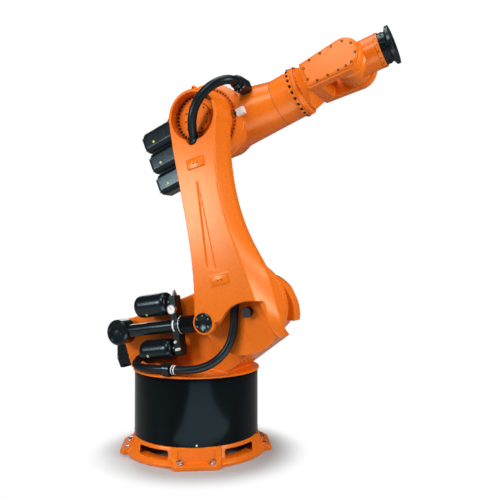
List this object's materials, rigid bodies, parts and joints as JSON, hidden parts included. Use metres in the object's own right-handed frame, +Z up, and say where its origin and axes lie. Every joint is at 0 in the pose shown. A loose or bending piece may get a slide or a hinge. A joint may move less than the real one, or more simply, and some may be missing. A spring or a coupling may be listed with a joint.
{
  "type": "industrial robot arm",
  "caption": "Floor-standing articulated robot arm on a round drum base, with a counterbalanced link arm, a roll forearm and a forked wrist with a round tool flange.",
  "frame": {"origin": "on the floor at the turning axis, the middle of the eight anchor bolts", "axes": "+Z up; the anchor feet face +X, -X, +Y and -Y; at rest the arm points towards +X and -Y"},
  "size_m": [1.9513, 1.3831, 2.841],
  "materials": {
    "orange_paint": "satin orange paint on cast metal",
    "black_paint": "satin black paint",
    "bright_steel": "ground",
    "dark_steel": "dark phosphated",
    "black_rubber": "matte",
    "white_plastic": "matte"
  },
  "bodies": {
    "base": {"base_foot": "orange_paint", "base_drum": "black_paint", "slewing_ring": "dark_steel"},
    "column": {"column": "orange_paint", "slew_motor": "black_paint", "shoulder_gear": "orange_paint", "shoulder_motor": "black_paint", "cable_box": "black_paint", "trunnion_pin": "dark_steel", "trunnion_cap": "black_paint", "lower_hose": "black_rubber", "lower_hose_clamp": "black_paint"},
    "link_arm": {"link_arm": "orange_paint", "elbow_gear_ring": "orange_paint", "elbow_cover": "orange_paint", "balancer_pin": "black_paint", "hose_connector": "dark_steel", "upper_hose": "black_rubber"},
    "forearm": {"forearm": "orange_paint", "elbow_hub_ring": "orange_paint", "motor_carrier": "orange_paint", "wrist_motor_upper": "black_paint", "wrist_motor_middle": "black_paint", "wrist_motor_lower": "black_paint", "elbow_motor": "black_paint", "stop_buffer": "white_plastic", "hose_bracket": "black_paint"},
    "wrist": {"wrist_housing": "orange_paint", "wrist_cover_near": "orange_paint", "wrist_cover_far": "orange_paint"},
    "hand": {"hand": "orange_paint"},
    "tool_flange": {"tool_flange": "black_paint"},
    "balancer_cylinder": {"balancer_cylinder": "black_paint", "manifold": "black_paint", "balancer_head": "bright_steel", "accumulator_upper": "black_paint", "accumulator_lower": "black_paint", "pressure_gauge": "white_plastic", "bellows": "black_rubber"},
    "balancer_rod": {"balancer_rod": "bright_steel"}
  },
  "joints": [
    {"name": "axis_1", "type": "hinge", "parent": "base", "child": "column", "pos_m": [0, 0, 0.57], "axis": [0, 0, 1], "range_deg": [-154.2, 215.8]},
    {"name": "axis_2", "type": "hinge", "parent": "column", "child": "link_arm", "pos_m": [0.42948, -0.25602, 1.045], "axis": [0.512, 0.859, 0], "range_deg": [-26.4, 123.6], "deforming": ["lower_hose", "bellows"]},
    {"name": "axis_3", "type": "hinge", "parent": "link_arm", "child": "forearm", "pos_m": [0.16767, -0.09995, 2.30876], "axis": [-0.512, -0.859, 0], "range_deg": [-62, 182], "deforming": ["upper_hose"]},
    {"name": "axis_4", "type": "hinge", "parent": "forearm", "child": "wrist", "pos_m": [1.00367, -0.5983, 2.63495], "axis": [0.7986, -0.4761, 0.3681], "range_deg": [-350, 350]},
    {"name": "axis_5", "type": "hinge", "parent": "wrist", "child": "hand", "pos_m": [1.00367, -0.5983, 2.63495], "axis": [0.512, 0.859, 0], "range_deg": [-124.2, 115.8]},
    {"name": "axis_6", "type": "hinge", "parent": "hand", "child": "tool_flange", "pos_m": [1.24136, -0.74, 2.72167], "axis": [0.8197, -0.4886, 0.299], "range_deg": [-350, 350]},
    {"name": "balancer_swing", "type": "hinge", "parent": "column", "child": "balancer_cylinder", "pos_m": [-0.53321, -0.05469, 0.841], "axis": [-0.512, -0.859, 0], "range_deg": [-3.55, 16.27]},
    {"name": "balancer_slide", "type": "slide", "parent": "balancer_cylinder", "child": "balancer_rod", "axis": [0.8502, -0.5068, 0.1426], "range_m": [-0.0716, 0.3334]}
  ],
  "couplings": [
    {"joint": "balancer_swing", "follows": "axis_2", "ratio": 0.13082},
    {"joint": "balancer_slide", "follows": "axis_2", "m_per_rad": 0.15432}
  ]
}
